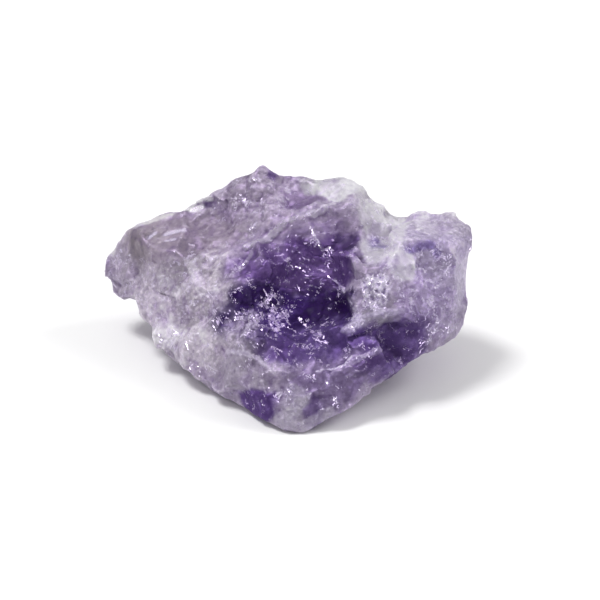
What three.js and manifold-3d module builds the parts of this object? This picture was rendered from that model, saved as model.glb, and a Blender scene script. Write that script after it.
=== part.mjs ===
// A rough lump of amethyst, broken on every side and lying on a small flat of its underside.
// Millimetres, +Z up, +X along the long side. The origin is at the middle of the underside, and the
// broken hollow with the deepest violet looks towards -Y and up.
//
// The lump is one solid. Its main corners, ridges and hollows are landmarks, which a skin of
// triangles joins all the way round. The skin is refined and roughened, then ledges are notched
// into it, flat faces are split off, and many shallow chips are broken out of it.

import * as THREE from "three";
import Module from "manifold-3d";
import { ConvexHull } from "three/addons/math/ConvexHull.js";
import { ImprovedNoise } from "three/addons/math/ImprovedNoise.js";
import { MeshSurfaceSampler } from "three/addons/math/MeshSurfaceSampler.js";
import { ConvexGeometry } from "three/addons/geometries/ConvexGeometry.js";
import { mergeVertices } from "three/addons/utils/BufferGeometryUtils.js";

const wasm = await Module();
wasm.setup();

// Driving dimensions of the whole stone.
const LENGTH = 52;
const DEPTH = 34;
const HEIGHT = 25;

// The point inside the stone from which every landmark can be seen.
const HEART = new THREE.Vector3(1, 5, 6);

// Landmarks, each in hundredths of half the length, half the depth and the whole height.
const LANDMARKS = {
  // The outline seen from the front, clockwise from the left tip.
  leftTip: [-108, 69, 34],
  tipTop: [-101, 74, 46],
  leftShoulder: [-88, 76, 57],
  leftBrow: [-75, 82, 64],
  browMiddle: [-59, 85, 70],
  flake: [-43, 85, 77],
  backSlope: [-29, 85, 88],
  apexLeft: [-18, 82, 96],
  apex: [-12, 80, 100],
  apexRight: [-5, 79, 95],
  ridgeLeft: [8, 79, 92],
  ridgeDip: [20, 74, 91],
  ridgeTop: [32, 71, 94],
  ridgeRight: [41, 68, 90],
  ridgeEnd: [50, 62, 81],
  saddle: [62, 53, 77],
  shoulderLeft: [78, 50, 80],
  shoulderRight: [91, 44, 81],
  corner: [100, 35, 77],
  rightTop: [102, 24, 74],
  rightMiddle: [100, 15, 57],
  rightLow: [99, 3, 41],
  rightHeel: [95, -12, 31],
  heel: [87, -26, 26],
  undercutA: [78, -38, 24],
  undercutB: [68, -53, 23],
  undercutC: [58, -68, 20],
  undercutD: [47, -79, 16],
  undercutE: [35, -88, 14],
  toeRight: [23, -96, 7],
  toe: [9, -100, 0],
  toeLeft: [-1, -98, 2],
  footA: [-13, -91, 4],
  footB: [-22, -78, 6],
  footC: [-40, -59, 8],
  footD: [-54, -32, 14],
  footE: [-71, -8, 15],
  nick: [-75, 10, 21],
  underTipA: [-84, 35, 27],
  underTipB: [-98, 57, 27],

  // The flat slope behind the left tip, and the lump under the apex.
  slopeA: [-74, 47, 64],
  slopeB: [-58, 32, 64],
  slopeC: [-39, 18, 63],
  slopeD: [-55, 62, 69],
  slopeE: [-33, 65, 79],
  valley: [-21, 35, 69],
  lumpA: [-12, 62, 89],
  lumpB: [3, 56, 87],
  lumpC: [15, 59, 90],

  // The pale crest above the hollow.
  crestA: [-20, 6, 68],
  crestB: [-9, 18, 73],
  crestC: [6, 26, 83],
  crestD: [22, 38, 88],
  crestE: [40, 38, 88],

  // The grey left flank, down to the plate at its foot.
  flankA: [-80, 44, 43],
  flankB: [-62, 15, 51],
  flankC: [-42, -8, 51],
  flankD: [-56, -11, 34],
  flankE: [-36, -41, 35],
  flankF: [-27, -26, 49],
  knob: [-66, -5, 22],
  plateA: [-29, -55, 30],
  plateB: [-13, -72, 33],
  plateC: [-5, -82, 29],
  plateD: [-2, -90, 19],
  plateE: [-23, -72, 17],

  // The violet hollow.
  hollowA: [-12, -8, 62],
  hollowB: [-18, -24, 51],
  hollowC: [0, -12, 52],
  hollowD: [18, 5, 64],
  hollowE: [31, 18, 73],
  hollowF: [32, -2, 58],
  hollowG: [25, -26, 44],
  hollowH: [3, -41, 42],
  hollowI: [-15, -49, 42],

  // The pale block at the right, and the lip that it ends in.
  blockA: [41, 18, 80],
  blockB: [38, 0, 76],
  blockC: [42, -16, 72],
  blockD: [54, -22, 74],
  blockE: [61, -3, 80],
  blockF: [78, 3, 81],
  blockG: [90, 0, 76],
  blockH: [77, -19, 65],
  blockI: [89, -18, 55],
  blockJ: [63, -35, 60],
  blockK: [82, -34, 43],
  lipA: [32, -54, 45],
  lipB: [46, -52, 52],
  lipC: [60, -47, 54],
  underLip: [46, -44, 38],

  // The front below the hollow, with its ledge.
  ledgeA: [27, -84, 28],
  ledgeB: [38, -76, 33],
  ledgeC: [50, -68, 37],
  frontA: [8, -66, 35],
  frontB: [19, -59, 36],
  frontC: [9, -88, 24],
  frontD: [24, -91, 16],
  frontE: [67, -51, 39],

  // The back, which leans out over the underside.
  backA: [-81, 86, 37],
  backB: [-54, 97, 43],
  backC: [-20, 99, 55],
  backD: [10, 95, 70],
  backE: [42, 92, 64],
  backF: [70, 76, 60],
  backG: [93, 52, 50],
  backH: [-60, 84, 18],
  backI: [-20, 100, 26],
  backJ: [21, 93, 36],
  backK: [53, 88, 30],
  backL: [82, 57, 26],

  // The underside. The flat that the stone lies on is a little above these, as cut later.
  baseA: [-65, 57, 7],
  baseB: [-36, 74, -3],
  baseC: [2, 76, -3],
  baseD: [36, 64, -3],
  baseE: [59, 40, 6],
  baseF: [74, 16, 14],
  baseG: [50, -10, 5],
  baseH: [33, -54, 2],
  baseI: [14, -80, -3],
  baseJ: [-20, -56, -3],
  baseK: [-47, -13, -3],
  baseL: [-62, 28, 3],
  baseM: [93, 22, 28],
};

// Notches under the ledges. Each follows a path along the surface, and at every place of the path its
// inner edge lies that depth behind it. Places are in the landmarks' measure, the rest in
// millimetres; no stretch of the path takes more than the largest volume.
const NOTCHES = {
  underTheLip: {
    path: [[24, -52, 38], [35, -55, 41], [47, -53, 45], [56, -50, 46], [67, -46, 47]],
    depths: [0.5, 1.9, 1.4, 2.0, 0.5],
    mouth: 1.1,
    largest: 30,
  },
  underTheLedge: {
    path: [[26, -87, 22], [36, -80, 27], [46, -74, 29], [60, -63, 33]],
    depths: [0.4, 1.5, 1.1, 0.4],
    mouth: 0.9,
    largest: 30,
  },
  underThePlate: {
    path: [[-35, -58, 25], [-22, -70, 26], [-12, -80, 25], [-4, -88, 21]],
    depths: [0.4, 1.1, 0.7, 0.4],
    mouth: 0.8,
    largest: 20,
  },
  underTheLeftBrow: {
    path: [[-86, 40, 37], [-76, 25, 40], [-66, 9, 41], [-56, -6, 42]],
    depths: [0.4, 0.9, 1.2, 0.4],
    mouth: 0.8,
    largest: 20,
  },
  acrossTheHollow: {
    path: [[-8, -16, 51], [6, -18, 50], [18, -14, 54], [29, -4, 60]],
    depths: [0.3, 0.9, 0.6, 0.3],
    mouth: 0.7,
    largest: 20,
  },
  alongTheCrest: {
    path: [[-16, 6, 64], [-4, 12, 66], [8, 18, 74], [22, 26, 80], [36, 27, 81]],
    depths: [0.3, 0.9, 1.1, 0.8, 0.3],
    mouth: 0.7,
    largest: 20,
  },
};

// Flat faces split off the surface: where, the way the face looks, how wide it is and how deep it
// goes at its middle.
const SPLITS = {
  slopeBehindTheTip: { at: [-62, 52, 66], facing: [-0.3, -0.25, 1], radius: 5.5, bite: 0.5 },
  slopeMiddle: { at: [-42, 44, 66], facing: [-0.2, -0.1, 1], radius: 4.5, bite: 0.5 },
  stepByTheCrest: { at: [41, 14, 78], facing: [0.75, -0.2, 0.7], radius: 2.6, bite: 0.9 },
  blockTop: { at: [70, 24, 79], facing: [0.1, 0.05, 1], radius: 4.5, bite: 0.5 },
  blockFace: { at: [76, -8, 70], facing: [0.25, -1, 0.75], radius: 4.5, bite: 0.6 },
  blockSide: { at: [97, 6, 52], facing: [1, -0.35, 0.1], radius: 4.5, bite: 0.5 },
  hollowHigh: { at: [14, 0, 58], facing: [-0.25, -1, 0.55], radius: 4.0, bite: 0.7 },
  hollowSide: { at: [27, -8, 54], facing: [-0.8, -0.7, 0.6], radius: 3.6, bite: 0.8 },
  hollowLow: { at: [2, -28, 46], facing: [0.3, -0.75, 0.9], radius: 4.0, bite: 0.7 },
  hollowLeft: { at: [-13, -26, 50], facing: [0.75, -0.6, 0.8], radius: 3.4, bite: 0.6 },
  lowerRight: { at: [44, -76, 24], facing: [0.55, -1, 0.1], radius: 3.6, bite: 0.4 },
  frontSlope: { at: [10, -74, 30], facing: [0.05, -0.8, 0.7], radius: 3.6, bite: 0.5 },
  leftFlank: { at: [-48, -10, 42], facing: [-0.65, -1, 0.5], radius: 5.0, bite: 0.6 },
  leftFoot: { at: [-40, -40, 24], facing: [-0.7, -0.9, 0.2], radius: 4.0, bite: 0.5 },
  leftTipFace: { at: [-88, 50, 42], facing: [-0.7, -0.9, 0.35], radius: 3.4, bite: 0.4 },
  backLeft: { at: [-50, 92, 40], facing: [-0.35, 1, 0.1], radius: 6.5, bite: 0.9 },
  backMiddle: { at: [0, 98, 55], facing: [0.05, 1, 0.25], radius: 6.0, bite: 0.8 },
  backRight: { at: [58, 84, 48], facing: [0.5, 1, 0.05], radius: 6.5, bite: 0.9 },
  backLow: { at: [20, 94, 28], facing: [0.05, 1, -0.35], radius: 6.0, bite: 0.8 },
};

// How finely the skin is divided, and how far it is roughened.
const EDGE_DIVISIONS = 3;
const EASING_ROUNDS = 1;
const WAVE = { length: 7.5, height: 0.7 };
const RIPPLE = { length: 2.9, height: 0.45 };

// Chips broken out all over the stone, in millimetres: how many, how wide, how deep, and how far
// they lean from the surface. A chip that would take much more than its own dish is left out.
const CHIPS = [
  { count: 60, radius: [2.2, 4.2], bite: [0.3, 0.7], lean: 0.3, sides: 6 },
  { count: 130, radius: [1.0, 2.2], bite: [0.2, 0.5], lean: 0.45, sides: 5 },
];
const DISH_RISE = 2.2;
const DISH_FLARE = 1.3;
const LARGEST_LOSS = 1.25;
const CLEAR_OF_FLOOR = 1.2;
const CHIP_SEED = 11;

// A repeatable source of numbers from 0 to 1.
function seeded(seed) {
  let state = seed >>> 0;
  return () => {
    state = (Math.imul(state, 1664525) + 1013904223) >>> 0;
    return state / 4294967296;
  };
}

function between([low, high], random) {
  return low + (high - low) * random();
}

// A landmark's place in millimetres.
function place([x, y, z]) {
  return new THREE.Vector3((x * LENGTH) / 200, (y * DEPTH) / 200, (z * HEIGHT) / 100);
}

// The landmarks joined by triangles: the same triangles as those of the hull of their directions
// from the heart, so that the skin closes all the way round.
function skinTriangles(points) {
  const directions = points.map((p) => p.clone().sub(HEART).normalize());
  const number = new Map(directions.map((d, i) => [d, i]));
  const hull = new ConvexHull().setFromPoints(directions);
  return hull.faces.map((face) => {
    const start = face.edge;
    return [start, start.next, start.next.next].map((edge) => points[number.get(edge.head().point)]);
  });
}

// Each triangle divided into EDGE_DIVISIONS squared smaller ones.
function dividedSkin(triangles) {
  const n = EDGE_DIVISIONS;
  const positions = [];
  for (const [a, b, c] of triangles) {
    const at = (i, j) =>
      new THREE.Vector3()
        .addScaledVector(a, (n - i - j) / n)
        .addScaledVector(b, i / n)
        .addScaledVector(c, j / n);
    for (let i = 0; i < n; i++) {
      for (let j = 0; j < n - i; j++) {
        positions.push(at(i, j), at(i + 1, j), at(i, j + 1));
        if (j < n - i - 1) positions.push(at(i + 1, j), at(i + 1, j + 1), at(i, j + 1));
      }
    }
  }
  return mergeVertices(new THREE.BufferGeometry().setFromPoints(positions), 1e-4);
}

// Moves every point of a closed mesh by a share of the way to the middle of its neighbours.
function pull(geometry, share) {
  const position = geometry.attributes.position;
  const sums = Array.from({ length: position.count }, () => new THREE.Vector3());
  const counts = new Array(position.count).fill(0);
  const index = geometry.index.array;
  const neighbour = new THREE.Vector3();
  for (let i = 0; i < index.length; i += 3) {
    for (let k = 0; k < 3; k++) {
      const from = index[i + k];
      sums[from].add(neighbour.fromBufferAttribute(position, index[i + ((k + 1) % 3)]));
      counts[from] += 1;
    }
  }
  const point = new THREE.Vector3();
  sums.forEach((sum, i) => {
    point.fromBufferAttribute(position, i).lerp(sum.divideScalar(counts[i]), share);
    position.setXYZ(i, point.x, point.y, point.z);
  });
}

// Rounds off the triangles' ridges: each pull in is followed by a slightly larger push out, which
// keeps the tips where they are.
function easeRidges(geometry) {
  for (let round = 0; round < EASING_ROUNDS; round++) {
    pull(geometry, 0.45);
    pull(geometry, -0.47);
  }
}

// Moves the skin in and out along its rays from the heart by long waves and short ripples.
function roughen(geometry) {
  const noise = new ImprovedNoise();
  const position = geometry.attributes.position;
  const point = new THREE.Vector3();
  const ray = new THREE.Vector3();
  for (let i = 0; i < position.count; i++) {
    point.fromBufferAttribute(position, i);
    ray.copy(point).sub(HEART).normalize();
    for (const { length, height } of [WAVE, RIPPLE]) {
      const wave = noise.noise(point.x / length + 7, point.y / length + 3, point.z / length + 5);
      point.addScaledVector(ray, wave * height);
    }
    position.setXYZ(i, point.x, point.y, point.z);
  }
}

// A closed geometry as a solid that can be joined and cut.
function solidOf(geometry) {
  const bare = geometry.clone();
  bare.deleteAttribute("normal");
  bare.deleteAttribute("uv");
  const merged = mergeVertices(bare, 1e-4);
  return new wasm.Manifold(
    new wasm.Mesh({
      numProp: 3,
      vertProperties: new Float32Array(merged.attributes.position.array),
      triVerts: new Uint32Array(merged.index.array),
    }),
  );
}

function geometryOf(solid) {
  const { vertProperties, triVerts } = solid.getMesh();
  const geometry = new THREE.BufferGeometry();
  geometry.setAttribute("position", new THREE.BufferAttribute(new Float32Array(vertProperties), 3));
  geometry.setIndex(new THREE.BufferAttribute(new Uint32Array(triVerts), 1));
  return geometry;
}

// A landmark's place brought onto the skin, along its ray from the heart.
function surfaceFinder(skin) {
  const mesh = new THREE.Mesh(skin, new THREE.MeshBasicMaterial({ side: THREE.DoubleSide }));
  const raycaster = new THREE.Raycaster();
  return (landmark) => {
    raycaster.set(HEART, place(landmark).sub(HEART).normalize());
    return raycaster.intersectObject(mesh).at(-1).point;
  };
}

// Wedges, one to each stretch of the path, whose sharp edge lies inside the stone and whose mouth is
// open towards the outside.
function notchCutters({ path, depths, mouth }, onSurface) {
  const places = path.map(onSurface);
  const along = places.at(-1).clone().sub(places[0]).normalize();
  const inward = HEART.clone().sub(places[0].clone().lerp(places.at(-1), 0.5));
  inward.addScaledVector(along, -inward.dot(along)).normalize();
  const up = new THREE.Vector3().crossVectors(along, inward);
  if (up.z < 0) up.negate();
  const section = (middle, depth) => {
    const open = mouth * (0.4 + (0.6 * depth) / Math.max(...depths));
    return [
      middle.clone().addScaledVector(inward, depth),
      middle.clone().addScaledVector(inward, -1.2).addScaledVector(up, open * 0.7),
      middle.clone().addScaledVector(inward, -1.2).addScaledVector(up, -open * 1.3),
    ];
  };
  return places.slice(1).map((end, i) => {
    const corners = [...section(places[i], depths[i]), ...section(end, depths[i + 1])];
    return new ConvexGeometry(corners);
  });
}

// A shallow dish with flat sides, widest at its open top, which breaks a chip out of the surface.
function dishCutter({ point, normal, radius, bite, sides, sag, random }) {
  const lean = normal.clone().normalize();
  const upright = new THREE.Quaternion().setFromUnitVectors(new THREE.Vector3(0, 0, 1), lean);
  const corners = [new THREE.Vector3(0, 0, -bite - sag)];
  const narrow = 0.62 + 0.38 * random();
  const turn = random() * Math.PI;
  for (let i = 0; i < sides; i++) {
    const angle = ((i + 0.7 * random()) / sides) * Math.PI * 2;
    const reach = radius * (0.75 + 0.35 * random());
    const rim = reach + DISH_RISE * DISH_FLARE;
    corners.push(
      new THREE.Vector3(reach * Math.cos(angle), reach * narrow * Math.sin(angle), -bite),
      new THREE.Vector3(rim * Math.cos(angle), rim * narrow * Math.sin(angle), DISH_RISE),
    );
  }
  const spin = new THREE.Quaternion().setFromAxisAngle(new THREE.Vector3(0, 0, 1), turn);
  const matrix = new THREE.Matrix4().compose(point, upright.multiply(spin), new THREE.Vector3(1, 1, 1));
  return new ConvexGeometry(corners).applyMatrix4(matrix);
}

function leaned(normal, size, random) {
  const lean = new THREE.Vector3(random() - 0.5, random() - 0.5, random() - 0.5);
  return normal.clone().addScaledVector(lean, 2 * size).normalize();
}

// Chips spread evenly over the skin, apart from the part of the underside near the floor.
function* chipPlaces(geometry, count, random) {
  const sampler = new MeshSurfaceSampler(new THREE.Mesh(geometry)).setRandomGenerator(random).build();
  for (let i = 0; i < count; i++) {
    const point = new THREE.Vector3();
    const normal = new THREE.Vector3();
    sampler.sample(point, normal);
    if (point.z > CLEAR_OF_FLOOR || normal.z > -0.4) yield { point, normal };
  }
}

// The stone without the chip, or as it was where the chip would take too much, open a hole right
// through or set a crumb free.
function chipped(stone, cutter, limit) {
  const rest = stone.subtract(solidOf(cutter));
  const keeps = stone.volume() - rest.volume() < limit && rest.genus() === stone.genus();
  return keeps ? rest : stone;
}

// The largest piece of the stone: crumbs that a cut has set free fall away.
function withoutCrumbs(geometry) {
  const pieces = solidOf(geometry).decompose();
  return geometryOf(pieces.reduce((most, piece) => (piece.volume() > most.volume() ? piece : most)));
}

// The space below the surface that the stone lies on.
function groundCutter() {
  const ground = new THREE.BoxGeometry(LENGTH * 2, DEPTH * 2, HEIGHT);
  return ground.translate(0, 0, -HEIGHT / 2);
}

function buildStone() {
  const points = Object.values(LANDMARKS).map(place);
  const skin = dividedSkin(skinTriangles(points));
  easeRidges(skin);
  roughen(skin);

  const random = seeded(CHIP_SEED);
  const onSurface = surfaceFinder(skin);
  let stone = solidOf(skin);
  for (const { at, facing, radius, bite } of Object.values(SPLITS)) {
    const face = { point: onSurface(at), normal: new THREE.Vector3(...facing), radius, bite };
    const cutter = dishCutter({ ...face, sides: 7, sag: 0.05, random });
    stone = chipped(stone, cutter, 2.5 * Math.PI * radius * radius * bite);
  }
  for (const notch of Object.values(NOTCHES)) {
    for (const wedge of notchCutters(notch, onSurface)) stone = chipped(stone, wedge, notch.largest);
  }

  const flatSkin = skin.toNonIndexed();
  flatSkin.computeVertexNormals();
  for (const { count, radius, bite, lean, sides } of CHIPS) {
    for (const { point, normal } of chipPlaces(flatSkin, count, random)) {
      const size = { radius: between(radius, random), bite: between(bite, random) };
      const cutter = dishCutter({
        ...size,
        point,
        normal: leaned(normal, lean, random),
        sides,
        sag: size.bite * 0.5,
        random,
      });
      stone = chipped(stone, cutter, LARGEST_LOSS * Math.PI * size.radius ** 2 * size.bite);
    }
  }
  return stone.subtract(solidOf(groundCutter()));
}

// Sets the stone to the driving dimensions, with the origin at the middle of its underside.
function fitToSize(geometry) {
  geometry.computeBoundingBox();
  const box = geometry.boundingBox;
  const size = box.getSize(new THREE.Vector3());
  const middle = box.getCenter(new THREE.Vector3());
  return geometry
    .translate(-middle.x, -middle.y, -box.min.z)
    .scale(LENGTH / size.x, DEPTH / size.y, HEIGHT / size.z);
}

const amethyst = new THREE.MeshStandardMaterial({ color: 0x7d6a9c, roughness: 0.25, metalness: 0 });

const stone = new THREE.Mesh(withoutCrumbs(fitToSize(geometryOf(buildStone()))), amethyst);
stone.name = "rough_amethyst";

const group = new THREE.Group();
group.add(stone);

export default group;
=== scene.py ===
"""A rough, broken lump of amethyst on a pale floor.

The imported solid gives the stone's place, size and main breaks. A fine skin is laid over it, and
grain, fracture ledges and small facets are worked out on the skin as whole arrays. The stone is
partly see-through: glassy violet quartz, with milky, frosted and greyish parts. Sizes in the
classes are in millimetres, and meshes are made in metres.
"""

import logging
import math
from dataclasses import dataclass, field
from enum import Enum

import bmesh
import bpy
import numpy as np
from mathutils import Euler, Matrix, Vector


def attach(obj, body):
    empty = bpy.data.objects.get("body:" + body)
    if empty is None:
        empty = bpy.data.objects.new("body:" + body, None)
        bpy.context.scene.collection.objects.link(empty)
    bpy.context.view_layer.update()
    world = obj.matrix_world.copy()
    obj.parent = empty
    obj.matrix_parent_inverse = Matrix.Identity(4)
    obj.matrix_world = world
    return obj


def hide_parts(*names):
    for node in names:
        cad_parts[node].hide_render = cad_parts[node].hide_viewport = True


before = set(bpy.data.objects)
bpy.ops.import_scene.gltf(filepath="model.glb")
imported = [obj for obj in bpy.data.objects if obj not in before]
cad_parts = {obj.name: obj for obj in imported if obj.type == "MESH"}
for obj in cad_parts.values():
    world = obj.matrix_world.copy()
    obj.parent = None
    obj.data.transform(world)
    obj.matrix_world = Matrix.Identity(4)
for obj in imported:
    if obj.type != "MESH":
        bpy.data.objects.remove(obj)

MM = 0.001
LOG = logging.getLogger("amethyst")
STONE_NODE = "rough_amethyst"

Triple = tuple[float, float, float]


class Part(Enum):
    """The parts of the stone's surface that break in ways of their own."""

    HOLLOW = "violet hollow"
    FLANK = "greyish left flank"
    SLOPE = "dull slope behind the tip"
    LUMPS = "granular lumps under the apex"
    RIDGE = "clear ridge at the top"
    BLOCK = "frosted block at the right"
    FRONT = "violet front below the lip"
    TIP = "smooth left tip"
    PLATE = "smooth plate at the lower left"
    CLEAR = "pale quartz beside the hollow"
    GLITTER = "bright facets above the lip"
    CLUSTER = "glittering facets low in the hollow"


@dataclass(frozen=True)
class Zone:
    """A soft-edged oval space in the stone, in millimetres.

    Its height runs up the slope that the front of the stone has, and its depth runs into it.
    """

    centre: Triple
    width: float
    height: float
    depth: float = 7.0
    tilt: float = 0.0
    edge: float = 0.35

    def turn(self) -> Euler:
        """Returns the zone's turn: leant back by the slope of the front, then tilted in it."""
        lean = Matrix.Rotation(math.radians(-30.0), 3, "X")
        tilt = Matrix.Rotation(math.radians(self.tilt), 3, "Y")
        return (lean @ tilt).to_euler("XYZ")

    def radii(self) -> Triple:
        """Returns half the width, half the depth and half the height."""
        return (self.width / 2, self.depth / 2, self.height / 2)

    def share(self, points: np.ndarray) -> np.ndarray:
        """Tells how far points are inside the zone.

        The distance from the centre in shares of the radii falls from 1 to 0 smoothly round 1.

        Args:
            points: places in millimetres, one to a row.

        Returns:
            1 well inside, 0 well outside.
        """
        axes = np.array(self.turn().to_matrix())
        local = (points - np.array(self.centre)) @ axes / np.array(self.radii())
        return 1.0 - smooth_step(np.linalg.norm(local, axis=1), 1 - self.edge, 1 + self.edge)


def smooth_step(value: np.ndarray, low: float, high: float) -> np.ndarray:
    """Eases from 0 at low to 1 at high, as t squared times 3 less 2 t.

    Args:
        value: numbers of any shape.
        low: where the step starts.
        high: where the step ends.

    Returns:
        The eased numbers, of the same shape.
    """
    t = np.clip((value - low) / (high - low), 0.0, 1.0)
    return t * t * (3.0 - 2.0 * t)


class Grain:
    """Patterns in space that are worked out for whole arrays of points."""

    @staticmethod
    def scattered(cells: np.ndarray, salt: int) -> np.ndarray:
        """Mixes the bits of whole-number places into random numbers.

        Args:
            cells: whole numbers, three to a row.
            salt: another pattern for another salt.

        Returns:
            Four numbers from 0 to 1 for each row.
        """
        c = cells.astype(np.int64).astype(np.uint32)
        mixed = (
            c[..., 0] * np.uint32(73856093)
            ^ c[..., 1] * np.uint32(19349663)
            ^ c[..., 2] * np.uint32(83492791)
        ) + np.uint32((salt * 2654435761) & 0xFFFFFFFF)
        found = []
        for _ in range(4):
            mixed = mixed ^ (mixed >> np.uint32(16))
            mixed = mixed * np.uint32(0x7FEB352D)
            mixed = mixed ^ (mixed >> np.uint32(15))
            mixed = mixed * np.uint32(0x846CA68B)
            mixed = mixed ^ (mixed >> np.uint32(16))
            found.append(mixed.astype(np.float64) / 4294967295.0)
        return np.stack(found, axis=-1)

    @staticmethod
    def waves(points: np.ndarray, length: float, salt: int) -> np.ndarray:
        """Gradient noise: random slopes at whole-number places, blended by t^3 (6 t^2 - 15 t + 10).

        Args:
            points: places, one to a row.
            length: the size of one wave.
            salt: another pattern for another salt.

        Returns:
            Numbers from about -1 to 1.
        """
        p = points / length
        base = np.floor(p)
        f = p - base
        blend = f * f * f * (f * (f * 6.0 - 15.0) + 10.0)
        total = np.zeros(len(points))
        for corner in np.ndindex(2, 2, 2):
            step = np.array(corner, float)
            slope = Grain.scattered(base + step, salt)[:, :3] * 2.0 - 1.0
            weight = np.prod(np.where(step > 0.5, blend, 1.0 - blend), axis=1)
            total += weight * np.einsum("ij,ij->i", slope, f - step)
        return total * 1.6

    @staticmethod
    def fractal(points: np.ndarray, length: float, octaves: int, salt: int) -> np.ndarray:
        """Adds waves, each half as long and half as high as the last."""
        return sum(
            Grain.waves(points, length / 2**k, salt + k) / 2**k for k in range(octaves)
        )

    @staticmethod
    def crystals(points: np.ndarray, size: float, salt: int, lift: float = 0.0) -> "Cells":
        """Finds the lowest of many bowls, one round each of the scattered seeds.

        A bowl's height at a place is the square of the distance from its seed, plus its own
        random lift. With no lift the lowest bowl is simply that of the nearest seed.

        Args:
            points: places, one to a row.
            size: the mean distance between the seeds.
            salt: another pattern for another salt.
            lift: the greatest lift, in shares of the size.

        Returns:
            What the lowest bowl is like at each place.
        """
        p = points / size
        base = np.floor(p)
        best = np.full(len(p), np.inf)
        offset = np.zeros_like(p)
        chance = np.zeros((len(p), 4))
        for corner in np.ndindex(3, 3, 3):
            place = base + np.array(corner, float) - 1.0
            random = Grain.scattered(place, salt)
            away = p - (place + random[:, :3])
            height = np.einsum("ij,ij->i", away, away) + random[:, 3] * lift
            lower = height < best
            best = np.where(lower, height, best)
            offset = np.where(lower[:, None], away, offset)
            chance = np.where(lower[:, None], random, chance)
        return Cells(offset * size, chance, best)

    @staticmethod
    def bowls(
        points: np.ndarray, size: float, depth: float, salt: int, ripple: float = 0.0
    ) -> np.ndarray:
        """Heights of a break made of shell-shaped hollows that meet in sharp ridges.

        Each hollow is a paraboloid round its seed, and fine rings run round the seed, as a sine
        of the distance from it.

        Args:
            points: places in millimetres.
            size: the mean width of a hollow.
            depth: how deep one is.
            salt: another pattern for another salt.
            ripple: the height of the rings.

        Returns:
            Heights in millimetres, about 0 on average.
        """
        cells = Grain.crystals(points, size, salt, 0.5)
        height = (cells.height - 0.42) * depth * 1.4
        if ripple:
            rings = np.linalg.norm(cells.offset, axis=1) / 0.95 + cells.chance[:, 0]
            height = height + np.sin(rings * 2 * np.pi) * ripple * (cells.chance[:, 1] > 0.35)
        return height

    @staticmethod
    def facets(points: np.ndarray, size: float, tilt: float, step: float, salt: int) -> np.ndarray:
        """Heights of a surface broken into flat facets.

        Each cell round a seed is a plane through it: the height is the way from the seed along a
        random direction times the tilt, plus a random step up or down.

        Args:
            points: places in millimetres.
            size: the mean width of a facet.
            tilt: the steepest slope of a facet.
            step: the highest step of a facet.
            salt: another pattern for another salt.

        Returns:
            Heights in millimetres.
        """
        cells = Grain.crystals(points, size, salt)
        direction = cells.chance[:, :3] * 2.0 - 1.0
        rise = np.einsum("ij,ij->i", cells.offset, direction) * tilt
        return rise + (cells.chance[:, 3] - 0.5) * step

    @staticmethod
    def ledges(
        points: np.ndarray, across: Triple, spacing: float, bend: float, salt: int
    ) -> np.ndarray:
        """Heights of the ledges of a shell-shaped break.

        The way across the ledges, bent by slow waves, is cut at whole numbers: from each cut the
        surface climbs evenly to 1 and then drops at once.

        Args:
            points: places in millimetres.
            across: the direction across the ledges.
            spacing: from one ledge to the next.
            bend: how far the waves bend them.
            salt: another pattern for another salt.

        Returns:
            Numbers from -0.5 to 0.5.
        """
        way = points @ (np.array(across) / np.linalg.norm(across)) / spacing
        way = way + Grain.fractal(points, 5.0, 2, salt) * bend
        return way - np.floor(way) - 0.5

    @staticmethod
    def stretched(points: np.ndarray, along: Triple, times: float) -> np.ndarray:
        """Squeezes space along a direction, which draws a pattern read there out along it."""
        way = np.array(along) / np.linalg.norm(along)
        return points - np.outer(points @ way, way) * (1.0 - 1.0 / times)


@dataclass(frozen=True)
class Cells:
    """What the lowest bowl is like at each of many places."""

    offset: np.ndarray
    chance: np.ndarray
    height: np.ndarray


@dataclass(frozen=True)
class Stroke:
    """A narrow mark along a path over the stone, in millimetres.

    It may be raised or sunk by its lift, turned flat towards the key light as much as its shine
    says, and given a colour by an amount.
    """

    path: tuple[Triple, ...]
    width: float
    lift: float = 0.0
    shine: float = 0.0
    colour: Triple | None = None
    amount: float = 0.8

    def nearest(self, points: np.ndarray) -> tuple[np.ndarray, np.ndarray]:
        """Finds the nearest place on the path.

        Each piece of the path gives the place where a plumb line from the point meets it, held
        between its ends; the closest of them counts.

        Args:
            points: places in millimetres.

        Returns:
            The nearest place on the path, and how far away it is.
        """
        corners = np.array(self.path)
        closest = np.repeat(corners[:1], len(points), axis=0)
        distance = np.linalg.norm(points - closest, axis=1)
        for start, end in zip(corners[:-1], corners[1:]):
            way = end - start
            share = np.clip((points - start) @ way / (way @ way), 0.0, 1.0)
            place = start + share[:, None] * way
            away = np.linalg.norm(points - place, axis=1)
            closest = np.where((away < distance)[:, None], place, closest)
            distance = np.minimum(distance, away)
        return closest, distance

    def share(self, points: np.ndarray) -> np.ndarray:
        """Returns 1 on the mark and 0 off it, with its edge frayed by small waves."""
        distance = self.nearest(points)[1] + Grain.waves(points, 0.8, 71) * self.width * 0.2
        return 1.0 - smooth_step(distance, self.width * 0.38, self.width * 0.62)

    def nearness(self, points: np.ndarray) -> np.ndarray:
        """Returns about 1 at the mark's edge, more on it, and less by the distance off it."""
        return np.maximum(1.05 + self.width * 0.3 - self.nearest(points)[1], 0.0)


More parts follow.
